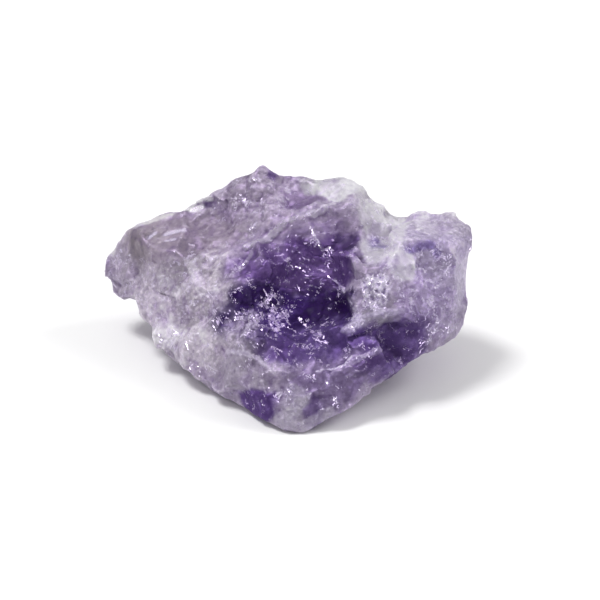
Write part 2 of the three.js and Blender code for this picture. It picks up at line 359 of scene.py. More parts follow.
@dataclass(frozen=True)
class Spike:
    """A rounded cone in the stone, in millimetres, that the skin is pushed out to."""

    tip: Triple
    root: Triple
    tip_radius: float
    root_radius: float

    def pushed(self, points: np.ndarray) -> np.ndarray:
        """Moves points that lie inside the cone straight away from its axis, to its surface.

        Args:
            points: places in millimetres.

        Returns:
            The new places.
        """
        tip = np.array(self.tip)
        way = np.array(self.root) - tip
        share = np.clip((points - tip) @ way / (way @ way), 0.0, 1.0)[:, None]
        middle = tip + share * way
        away = points - middle
        far = np.maximum(np.linalg.norm(away, axis=1, keepdims=True), 1e-6)
        radius = self.tip_radius + (self.root_radius - self.tip_radius) * share
        return middle + away * np.maximum(1.0, radius / far)


@dataclass
class StoneSkin:
    """The fine skin over the solid: how fine it is, and how each part of it breaks.

    The margin is how high over the floor the relief starts and is full. Edges are told from the
    mean over a narrow place and rims from that over a wide one: each reach says how often the mean
    is taken, and how many millimetres there are from cracks to edges.
    """

    shine: Vector
    voxel: float = 0.245
    crease: float = 24.0
    filling: int = 10
    evening: int = 4
    margin: tuple[float, float] = (0.15, 1.4)
    edge_reach: tuple[int, float] = (6, 0.12)
    rim_reach: tuple[int, float] = (120, 1.6)
    parts: dict[Part, Zone] = field(default_factory=lambda: PARTS)

    def build(self, solid: bpy.types.Object) -> bpy.types.Object:
        """Makes the stone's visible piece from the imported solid.

        Args:
            solid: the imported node.

        Returns:
            The new object, in the row's frame.
        """
        stone = self.remeshed(solid)
        mesh = stone.data
        points = self.read(mesh, "co", len(mesh.vertices)) / MM
        edges = np.empty(len(mesh.edges) * 2, np.int32)
        mesh.edges.foreach_get("vertices", edges)
        edges = edges.reshape(-1, 2)
        normals = self.spread(self.read(mesh, "normal", len(mesh.vertices)), edges, self.evening)
        normals /= np.linalg.norm(normals, axis=1, keepdims=True)

        clear = smooth_step(points[:, 2], *self.margin)
        points = self.filled(points, edges, normals, clear)
        for spike in SPIKES:
            points = spike.pushed(points)
        for rounds, zones in EASED.items():
            eased = self.spread(points, edges, rounds)
            share = np.max([zone.share(points) for zone in zones], axis=0)[:, None]
            points = points * (1 - share) + eased * share
        for zone, shift in MOVED:
            points = points + zone.share(points)[:, None] * np.array(shift)
        shaped = points + normals * (self.relief(points) * clear)[:, None]
        shaped = shaped + normals * (self.strokes(shaped, normals) * clear)[:, None]
        shaped[:, 2] = np.maximum(shaped[:, 2], 0.0)
        mesh.vertices.foreach_set("co", (shaped * MM).ravel())
        mesh.update()
        self.crisp(mesh)
        ridge = self.ridges(shaped, edges, normals, *self.edge_reach)
        thin = self.ridges(shaped, edges, normals, *self.rim_reach)
        colour, *layers = Quartz().painted(points, ridge, thin)
        colour = np.column_stack([colour, np.ones(len(points))])
        self.write(mesh, "tint", colour, "FLOAT_COLOR", "color")
        for name, values in zip(LAYERS, layers):
            self.write(mesh, name, values, "FLOAT", "value")
        return stone

    def remeshed(self, solid: bpy.types.Object) -> bpy.types.Object:
        """Merges a copy of the solid's loose triangles and covers it with small even faces."""
        joined = bmesh.new()
        joined.from_mesh(solid.data)
        bmesh.ops.remove_doubles(joined, verts=joined.verts, dist=1e-7)
        mesh = bpy.data.meshes.new("amethyst_lump")
        joined.to_mesh(mesh)
        joined.free()
        mesh.materials.clear()
        stone = bpy.data.objects.new("amethyst_lump", mesh)
        bpy.context.scene.collection.objects.link(stone)
        remesh = stone.modifiers.new("skin", "REMESH")
        remesh.mode = "VOXEL"
        remesh.voxel_size = self.voxel * MM
        remesh.use_smooth_shade = True
        graph = bpy.context.evaluated_depsgraph_get()
        fine = bpy.data.meshes.new_from_object(stone.evaluated_get(graph))
        stone.modifiers.clear()
        stone.data = fine
        fine.name = "amethyst_lump"
        bpy.data.meshes.remove(mesh)
        return stone

    @staticmethod
    def read(mesh: bpy.types.Mesh, name: str, count: int) -> np.ndarray:
        """Returns a vector property of all vertices, one to a row."""
        values = np.empty(count * 3)
        mesh.vertices.foreach_get(name, values)
        return values.reshape(-1, 3)

    @staticmethod
    def write(mesh: bpy.types.Mesh, name: str, values: np.ndarray, kind: str, key: str) -> None:
        """Stores numbers or colours of the vertices under a name that the material reads."""
        attribute = mesh.attributes.new(name, kind, "POINT")
        attribute.data.foreach_set(key, values.astype(np.float32).ravel())

    def crisp(self, mesh: bpy.types.Mesh) -> None:
        """Marks an edge sharp where the faces beside it turn by more than the crease angle.

        Args:
            mesh: a closed mesh, so that just two faces meet in each edge.
        """
        sides = np.empty(len(mesh.loops), np.int32)
        mesh.loops.foreach_get("edge_index", sides)
        counts = np.empty(len(mesh.polygons), np.int32)
        mesh.polygons.foreach_get("loop_total", counts)
        faces = np.repeat(np.arange(len(counts)), counts)
        if len(sides) != 2 * len(mesh.edges):
            LOG.info("the skin has open edges, so that none is marked sharp")
            return
        pairs = faces[np.argsort(sides, kind="stable")].reshape(-1, 2)
        normals = np.empty(len(counts) * 3)
        mesh.polygons.foreach_get("normal", normals)
        normals = normals.reshape(-1, 3)
        turn = np.einsum("ij,ij->i", normals[pairs[:, 0]], normals[pairs[:, 1]])
        sharp = turn < math.cos(math.radians(self.crease))
        mesh.attributes.new("sharp_edge", "BOOLEAN", "EDGE").data.foreach_set("value", sharp)

    @staticmethod
    def spread(values: np.ndarray, edges: np.ndarray, rounds: int) -> np.ndarray:
        """Averages each point's values with its neighbours', several times.

        Args:
            values: one row to a point.
            edges: pairs of points.
            rounds: how often.

        Returns:
            The smoothed rows.
        """
        count = len(values)
        both = np.concatenate([edges[:, 0], edges[:, 1]])
        other = np.concatenate([edges[:, 1], edges[:, 0]])
        near = np.bincount(both, minlength=count).astype(float)
        for _ in range(rounds):
            total = np.stack(
                [np.bincount(both, values[other, k], count) for k in range(values.shape[1])], axis=1
            )
            values = 0.5 * values + 0.5 * total / near[:, None]
        return values

    def filled(
        self, points: np.ndarray, edges: np.ndarray, normals: np.ndarray, clear: np.ndarray
    ) -> np.ndarray:
        """Fills the narrow cuts of the solid, so that they read as soft ledges.

        A point that lies below the mean of those round it moves out to that mean, by a share of
        the way; one that stands out stays.

        Args:
            points: places in millimetres.
            edges: pairs of points.
            normals: the way out at each point.
            clear: 0 by the floor, where nothing moves.

        Returns:
            The new places.
        """
        for _ in range(self.filling):
            way = np.einsum("ij,ij->i", self.spread(points, edges, 5) - points, normals)
            points = points + normals * (np.maximum(way - 0.01, 0.0) * clear)[:, None]
        return points

    def ridges(
        self, points: np.ndarray, edges: np.ndarray, normals: np.ndarray, rounds: int, reach: float
    ) -> np.ndarray:
        """Tells edges from hollows: how far a point stands out from the mean of those round it.

        Args:
            points: places in millimetres.
            edges: pairs of points.
            normals: the way out at each point.
            rounds: how often the mean is taken, which makes it a mean over a wider place.
            reach: from cracks to edges, how far that is in millimetres.

        Returns:
            0.5 where flat, towards 1 on sharp edges and towards 0 in cracks.
        """
        out = np.einsum("ij,ij->i", points - self.spread(points, edges, rounds), normals)
        return np.clip(0.5 + out / reach, 0.0, 1.0)

    def relief(self, points: np.ndarray) -> np.ndarray:
        """Heights of everything that is finer than the solid's own breaks.

        Each part's pattern is weighed by how far a point is inside that part. The patterns are
        shell-shaped hollows of several sizes, drawn out along the streaks of the break, with
        ledges, small flat facets and a little roughness.

        Args:
            points: places in millimetres.

        Returns:
            Heights along the way out, in millimetres.
        """
        share = {part: zone.share(points) for part, zone in self.parts.items()}
        level = Grain.stretched(points, LEVEL_STREAK, 2.6)
        steep = Grain.stretched(points, STEEP_STREAK, 2.4)
        wide = Grain.bowls(points, 3.6, 0.55, 1, 0.02)
        medium = Grain.bowls(points, 1.7, 0.2, 2)
        small = Grain.bowls(points, 0.85, 0.07, 3)
        sugar = Grain.facets(points, 0.62, 0.16, 0.05, 4)
        grains = Grain.bowls(points, 1.9, -0.42, 5) + Grain.bowls(points, 0.9, -0.13, 6)
        drawn = Grain.bowls(level, 1.5, 0.34, 7, 0.02) + Grain.bowls(level, 0.62, 0.09, 8)
        raked = Grain.bowls(steep, 1.6, 0.36, 9, 0.02) + Grain.bowls(steep, 0.65, 0.09, 10)
        glints = Grain.facets(points, 0.75, 0.55, 0.12, 11)
        shelves = Grain.ledges(points, (-0.25, 0.45, 0.86), 2.6, 1.2, 30) * 0.3
        turns = smooth_step(Grain.waves(points, 5.0, 50), -0.25, 0.25)
        shell = drawn * turns + raked * (1.0 - turns)
        height = wide * 0.7 + medium * 0.7 + small * 0.6 + sugar * 0.3
        for part, pattern in {
            Part.SLOPE: wide * 0.3 + medium * 0.2 + small * 0.3,
            Part.FLANK: wide * 0.6 + medium * 0.7 + small * 0.6 + sugar * 0.4,
            Part.LUMPS: grains * 0.9 + sugar * 0.2,
            Part.RIDGE: medium * 0.5 + small * 0.3,
            Part.TIP: wide * 0.25 + medium * 0.2 + small * 0.3,
            Part.PLATE: wide * 0.2 + small * 0.5,
            Part.BLOCK: wide * 0.3 + medium * 0.3 + small * 0.3,
            Part.FRONT: shell * 0.3 + shelves * 0.15 + wide * 0.6,
            Part.HOLLOW: shell * 0.25 + shelves * 0.45 + wide * 0.7,
            Part.CLEAR: wide * 0.2 + small * 0.4,
            Part.GLITTER: glints,
            Part.CLUSTER: glints * 0.8 + shelves * 0.3,
        }.items():
            height = height * (1.0 - share[part]) + pattern * share[part]
        return height + Grain.fractal(points, 0.7, 2, 40) * 0.03

    def strokes(self, points: np.ndarray, normals: np.ndarray) -> np.ndarray:
        """Heights of the narrow marks: raised or sunk lines, and flats that face the key light.

        On a flat, a point moves along its way out until it is in the plane that goes through the
        nearest place of the path and is square to the shining direction.

        Args:
            points: places in millimetres.
            normals: the way out at each point.

        Returns:
            Heights in millimetres.
        """
        height = np.zeros(len(points))
        shine = np.array(self.shine)
        for stroke in STROKES:
            near = np.flatnonzero(stroke.nearest(points)[1] < stroke.width)
            if not len(near):
                continue
            share = stroke.share(points[near])
            height[near] += share * stroke.lift
            if stroke.shine:
                place = stroke.nearest(points[near])[0]
                facing = np.maximum(normals[near] @ shine, 0.35)
                rise = np.einsum("ij,j->i", place - points[near], shine) / facing
                height[near] += np.clip(rise, -0.5, 0.5) * share * stroke.shine
        return height


LAYERS = ("milk", "gloss", "spark", "glint")

# the ways that the breaks and the flakes are drawn out
LEVEL_STREAK: Triple = (0.934, -0.287, -0.215)
RISING_STREAK: Triple = (0.574, 0.655, 0.491)
STEEP_STREAK: Triple = (0.469, -0.706, -0.530)

# where the solid is smoothed, by rounds of smoothing
EASED: dict[int, tuple[Zone, ...]] = {
    20: (
        Zone((-3.2, 12.6, 22.6), 10, 8, 8),
        Zone((-21.0, 10.8, 11.2), 9, 9, 9),
    ),
    40: (
        Zone((13.2, 3.6, 19.0), 8, 10, 9),
        Zone((14.2, 10.2, 18.8), 7, 6, 8),
        Zone((22.0, 4.0, 19.5), 12, 5, 10),
        Zone((-7.0, -10.0, 7.0), 8, 7, 6),
        Zone((11.6, -8.0, 10.5), 6, 4, 5),
    ),
    160: (Zone((12.4, -0.6, 17.4), 5.0, 7.0, 6),),
}
# the apex and the left tip, and what is drawn out to their outline
SPIKES: tuple[Spike, ...] = (
    Spike((-3.1, 13.0, 23.3), (-3.1, 12.5, 20.8), 1.3, 3.0),
    Spike((-24.6, 11.0, 8.6), (-20.6, 11.0, 9.4), 0.9, 3.0),
)
MOVED: tuple[tuple[Zone, Triple], ...] = (
    (Zone((-21.7, 12.5, 12.8), 6, 5, 10, 0, 0.8), (-1.0, 0.0, 0.6)),
    (Zone((-21.0, 7.5, 7.2), 8, 6, 10, 0, 0.8), (-1.5, 0.0, 0.0)),
    (Zone((-6.0, 13.4, 21.5), 5, 3, 6, -30, 0.8), (0.0, 0.0, 0.6)),
)

PARTS: dict[Part, Zone] = {
    Part.HOLLOW: Zone((3.5, -1.0, 13.5), 22, 17, 12, -12),
    Part.FLANK: Zone((-13.0, -3.0, 8.5), 19, 19, 12, 30),
    Part.SLOPE: Zone((-15.5, 8.5, 15.5), 17, 7, 10, -8),
    Part.LUMPS: Zone((-2.5, 10.5, 21.0), 15, 8, 8, 0),
    Part.RIDGE: Zone((6.5, 10.5, 22.5), 13, 5, 7, 0),
    Part.BLOCK: Zone((19.5, 1.5, 16.5), 18, 18, 18, 0),
    Part.FRONT: Zone((10.0, -11.5, 7.0), 20, 9, 9, -25),
    Part.TIP: Zone((-22.0, 10.0, 11.0), 10, 12, 10),
    Part.PLATE: Zone((-5.3, -10.5, 6.3), 9, 6, 6, -25),
    Part.CLEAR: Zone((13.6, 2.0, 18.6), 6.5, 12, 9),
    Part.GLITTER: Zone((12.1, -6.1, 15.3), 3.6, 5.2, 5),
    Part.CLUSTER: Zone((-3.0, -5.8, 10.8), 6.5, 6.5, 7, -25),
}

# painted highlight: the near-white laid on shining marks
PAINTED_GLINT: Triple = (0.78, 0.72, 0.88)
DARK_LINE: Triple = (0.10, 0.05, 0.20)

# the plain shining marks: the width, the shine and the path of each
GLINTS: tuple[tuple[float | Triple, ...], ...] = (
    (0.3, 0.9, (2.8, 2.9, 17.8), (4.5, 3.1, 18.2)),
    (0.3, 0.9, (-1.4, 2.1, 16.2), (0.0, 2.1, 16.5)),
    (0.3, 0.9, (0.4, 2.6, 16.9), (2.1, 2.7, 16.5)),
    (0.35, 1.0, (1.6, 1.5, 15.0), (2.8, 1.2, 14.2)),
    (0.3, 1.0, (4.6, 1.2, 14.4), (5.7, 0.6, 14.4)),
    (0.4, 0.9, (6.5, 3.3, 18.0), (7.8, 2.6, 18.2), (9.2, 1.8, 18.4)),
    (0.45, 1.0, (7.6, 0.9, 17.5), (8.6, -0.2, 17.6), (9.5, -1.2, 17.9)),
    (0.32, 1.0, (0.8, -3.9, 10.9), (2.6, -5.3, 9.8), (4.8, -7.8, 9.6)),
    (0.3, 1.0, (2.1, -4.7, 10.4), (3.0, -5.4, 9.6), (3.8, -7.2, 9.6)),
    (0.28, 1.0, (-0.1, -6.0, 10.0), (2.1, -6.3, 9.0), (4.0, -8.3, 9.3)),
    (0.3, 1.0, (-2.2, -2.6, 12.0), (-1.1, -3.6, 11.0), (0.8, -5.8, 10.0)),
    (0.4, 1.0, (-2.2, -4.7, 10.4), (-1.6, -6.3, 10.0), (-1.1, -7.9, 9.5)),
    (0.45, 1.0, (-4.8, -5.0, 11.8), (-3.7, -6.7, 11.0), (-2.9, -8.3, 10.7)),
    (0.3, 1.0, (-3.0, -2.0, 13.2), (-2.2, -2.6, 12.0)),
    (0.35, 1.0, (-1.6, -9.9, 9.0), (-0.2, -10.4, 8.6)),
    (0.35, 0.8, (5.1, -8.4, 9.2), (6.6, -9.4, 9.0), (8.1, -10.1, 8.7)),
    (0.35, 0.9, (-7.1, 1.2, 15.8), (-6.0, -0.2, 15.7)),
    (0.35, 0.9, (-13.4, 4.8, 14.7), (-12.3, 5.3, 14.8)),
    (0.35, 0.8, (11.5, -7.7, 13.5), (10.4, -8.0, 12.6), (9.2, -8.2, 11.7)),
    (0.4, 1.0, (-13.3, 7.1, 15.4), (-12.4, 6.8, 15.3)),
)

STROKES: tuple[Stroke, ...] = (
    *(Stroke(tuple(path), width, shine=shine) for width, shine, *path in GLINTS),
    # the crest over the hollow, painted pale as light that comes through its thin edge
    Stroke(
        ((-5.1, 3.5, 16.9), (-2.7, 4.3, 17.4), (0.1, 5.3, 19.6), (3.7, 5.7, 20.7), (6.6, 7.4, 21.2)),
        1.1, 0.22, 0.0, (0.68, 0.63, 0.74), 0.7,
    ),
    # in the hollow; the white on two of the shining marks is painted highlight
    Stroke(((9.8, 3.4, 18.9), (9.7, 1.4, 18.2), (9.6, -0.6, 17.8)), 0.8, 0.0, 0.0, DARK_LINE, 0.5),
    Stroke(((3.6, 4.1, 19.5), (4.6, 3.0, 17.8), (5.3, 2.8, 16.8)), 0.45, 0.1, 0.9, PAINTED_GLINT, 0.3),
    Stroke(((5.2, 2.8, 16.8), (6.2, 2.6, 17.3)), 0.5, 0.05, 1.0),
    Stroke(((6.0, 0.0, 14.1), (7.1, -1.0, 13.9), (8.2, -2.5, 13.8)), 0.35, 0.05, 1.0),
    Stroke(
        ((6.9, -0.4, 13.9), (8.2, -3.1, 13.5), (9.1, -5.3, 13.1)), 0.4, 0.05, 1.0, PAINTED_GLINT, 0.3
    ),
    # by the lip and on the front below it; the white on the first shining mark is painted highlight
    Stroke(
        ((4.4, -12.6, 6.8), (6.1, -12.6, 7.0), (7.8, -12.5, 7.6), (9.0, -11.4, 8.5)),
        0.45, 0.08, 0.8, PAINTED_GLINT, 0.3,
    ),
    Stroke(
        ((7.8, -8.7, 10.8), (10.2, -7.8, 12.2), (12.7, -8.3, 13.3), (15.5, -8.1, 13.5)),
        0.7, 0.1, 0.0, (0.50, 0.44, 0.62), 0.5,
    ),
    Stroke(
        ((6.6, -13.1, 7.0), (9.5, -12.0, 8.2), (12.6, -11.1, 9.3)), 0.8, 0.15, 0.0, (0.46, 0.38, 0.58), 0.6
    ),
    # painted shadow: the dark band under the lower ledge
    Stroke(((9.8, -13.0, 8.0), (12.4, -11.7, 8.1), (15.1, -8.4, 7.3)), 1.4, -0.08, 0.0, DARK_LINE, 0.7),
    # the edge of the plate
    Stroke(
        ((-7.4, -8.1, 7.3), (-5.1, -10.4, 8.3), (-3.3, -11.4, 8.1), (-1.3, -13.4, 7.4), (-0.5, -14.4, 4.5)),
        0.7, 0.08, 0.0, (0.66, 0.60, 0.74), 0.7,
    ),
    # the slope behind the tip, and its skyline: its thin rim is painted pale as light that comes through it,
    # and the white marks on it are painted highlights
    Stroke(
        ((-13.9, 13.3, 17.8), (-12.5, 14.1, 18.5), (-10.3, 13.6, 19.2)),
        0.7, 0.15, 0.0, (0.74, 0.73, 0.75), 0.8,
    ),
    Stroke(
        ((-13.2, 13.1, 17.6), (-12.6, 13.3, 17.7), (-11.9, 13.3, 18.0)),
        0.9, 0.05, 0.8, (0.95, 0.94, 0.96), 0.95,
    ),
    Stroke(
        ((-16.8, 9.3, 15.7), (-15.4, 9.4, 16.1), (-14.1, 9.2, 16.5)), 0.7, 0.0, 1.0, PAINTED_GLINT, 0.4
    ),
    Stroke(((-16.6, 8.0, 15.4), (-15.2, 7.8, 15.8)), 0.5, 0.0, 1.0, PAINTED_GLINT, 0.3),
    Stroke(((-19.2, 9.2, 15.1), (-18.3, 10.0, 15.5)), 0.7, 0.0, 1.0, PAINTED_GLINT, 0.4),
    Stroke(
        ((-12.6, 3.0, 14.2), (-12.0, 1.2, 13.3), (-11.2, -1.0, 12.3)), 1.3, 0.1, 0.0, (0.66, 0.62, 0.70), 0.5
    ),
    Stroke(
        ((-6.0, -0.5, 15.5), (-5.2, 0.2, 16.3), (-4.4, 2.7, 16.4)), 0.6, 0.08, 0.0, (0.55, 0.49, 0.62), 0.5
    ),
    Stroke(((6.5, 2.6, 17.3), (8.4, 2.1, 18.1), (9.8, 2.5, 18.5)), 1.2, -0.05, 0.0, DARK_LINE, 0.6),
    # the rims of the tip and of the toe, painted pale as light that comes through them
    Stroke(
        ((-24.4, 12.2, 11.6), (-23.2, 12.8, 13.2), (-20.5, 12.8, 15.5), (-16.5, 13.3, 17.2)),
        1.8, 0.0, 0.0, (0.80, 0.79, 0.79), 0.7,
    ),
    Stroke(
        ((-0.5, -16.2, 1.7), (2.4, -16.8, 0.8), (6.1, -15.9, 2.7)), 1.6, 0.0, 0.0, (0.62, 0.58, 0.68), 0.6
    ),
)


@dataclass(frozen=True)
class Tint:
    """A colour, a cloudiness and a wealth of glinting flakes that lie in a zone of the stone."""

    zone: Zone
    colour: Triple
    milk: float
    spark: float
    amount: float = 0.95
    stray: float = 1.0


@dataclass(frozen=True)
class Quartz:
    """How the quartz is coloured and how clear it is, place by place."""

    colour: Triple = (0.44, 0.38, 0.50)
    milk: float = 0.72
    gloss: float = 0.26
    spark: float = 0.11
    warp: float = 1.3
    deeper: Triple = (0.66, 0.56, 0.78)
    palest: float = 0.85
    lit_edge_palest: float = 0.88

    def painted(
        self, points: np.ndarray, ridge: np.ndarray, thin: np.ndarray
    ) -> tuple[np.ndarray, ...]:
        """Works out the quartz at each point of the skin.

        The tints are laid over each other, each weighed by how far the point, pushed about by
        slow waves, is inside its zone. Deeper violet clouds and pale veils come over them, and
        then the narrow marks. Rims and sharp edges are painted paler, as painted light that comes
        through the thin quartz there, and cracks get painted shade in a deeper violet.

        Args:
            points: places in millimetres.
            ridge: 0.5 where flat, towards 1 on sharp edges and towards 0 in cracks.
            thin: the same over a wider place, towards 1 at rims and corners, where light comes
            through; there the colour is painted paler, as painted light.

        Returns:
            The colours, how milky the quartz is, how rough, how rich in glinting flakes, and how
            near a shining mark is.
        """
        push = np.stack([Grain.fractal(points, 3.0, 4, 200 + k) for k in range(3)], axis=1)
        push = push * self.warp
        pushed = points + push
        colour = np.tile(np.array(self.colour), (len(points), 1))
        milk = np.full(len(points), self.milk)
        spark = np.full(len(points), self.spark)
        for tint in TINTS:
            share = tint.zone.share(points + push * tint.stray) * tint.amount
            colour = self.over(colour, np.array(tint.colour), share)
            milk = milk * (1 - share) + tint.milk * share
            spark = spark * (1 - share) + tint.spark * share

        colour = colour * self.planes(pushed)[:, None]
        violet = smooth_step(Grain.fractal(points, 2.8, 4, 210), 0.15, 0.6)
        colour = self.over(colour, colour * np.array(self.deeper), violet * 0.45)
        veil = smooth_step(np.abs(Grain.fractal(points, 3.2, 4, 220)), 0.12, 0.0)
        veil = veil * smooth_step(Grain.waves(points, 4.0, 230), -0.1, 0.35)
        colour = self.paled(colour, veil * 0.14, 1.6, 0.02)
        colour = self.paled(colour, self.blotches(pushed) * 0.5, 1.5, 0.06)
        # painted light: rims and corners are painted paler, as light that comes through the thin quartz
        colour = self.paled(colour, smooth_step(thin, 0.60, 1.0) * 0.5, 1.5, 0.06)
        # painted light: sharp edges are painted paler, as light that comes through the thin quartz there;
        # the same mask adds flakes and lowers the roughness
        lit_edge = smooth_step(ridge, 0.60, 0.95)
        crack = smooth_step(ridge, 0.42, 0.10)
        pale = np.minimum(colour * 1.6 + 0.05, self.lit_edge_palest)
        colour = self.over(colour, pale, lit_edge * 0.08)
        # painted shade: cracks and creases are painted a deeper violet
        colour = self.over(colour, colour * np.array(self.deeper), crack * 0.6)
        spark = spark + lit_edge * 0.1
        glint = np.zeros(len(points))
        for stroke in STROKES:
            share = stroke.share(points)
            if stroke.colour is not None:
                colour = self.over(colour, np.array(stroke.colour), share * stroke.amount)
            if stroke.shine:
                glint = np.maximum(glint, stroke.nearness(points))
        gloss = np.clip(self.gloss + milk * 0.10 - lit_edge * 0.05, 0.05, 1.0)
        return colour, np.clip(milk + veil * 0.2, 0, 1), gloss, np.clip(spark, 0, 1), glint

    @staticmethod
    def planes(points: np.ndarray) -> np.ndarray:
        """Tones of the inner planes: each cell round a seed is a little paler or darker."""
        large = Grain.crystals(points, 4.2, 240, 0.6)
        small = Grain.crystals(points, 1.7, 241, 0.6)
        return 0.72 + large.chance[:, 0] * 0.38 + small.chance[:, 0] * 0.18

    @staticmethod
    def blotches(points: np.ndarray) -> np.ndarray:
        """Soft pale spots, each fading out from the seed of a cell; a third of the cells have one."""
        cells = Grain.crystals(points, 1.25, 250)
        chosen = smooth_step(cells.chance[:, 1], 0.62, 0.78)
        away = np.linalg.norm(cells.offset, axis=1) / 1.25
        return chosen * smooth_step(away, 0.62, 0.2)

    def paled(self, colour: np.ndarray, share: np.ndarray, times: float, more: float) -> np.ndarray:
        """Makes colours paler by a share: each number times a number, and a little more."""
        return self.over(colour, np.minimum(colour * times + more, self.palest), share)

    @staticmethod
    def over(under: np.ndarray, upper: np.ndarray, share: np.ndarray) -> np.ndarray:
        """Lays a colour over others, as much as the share says."""
        return under * (1.0 - share[:, None]) + upper * share[:, None]


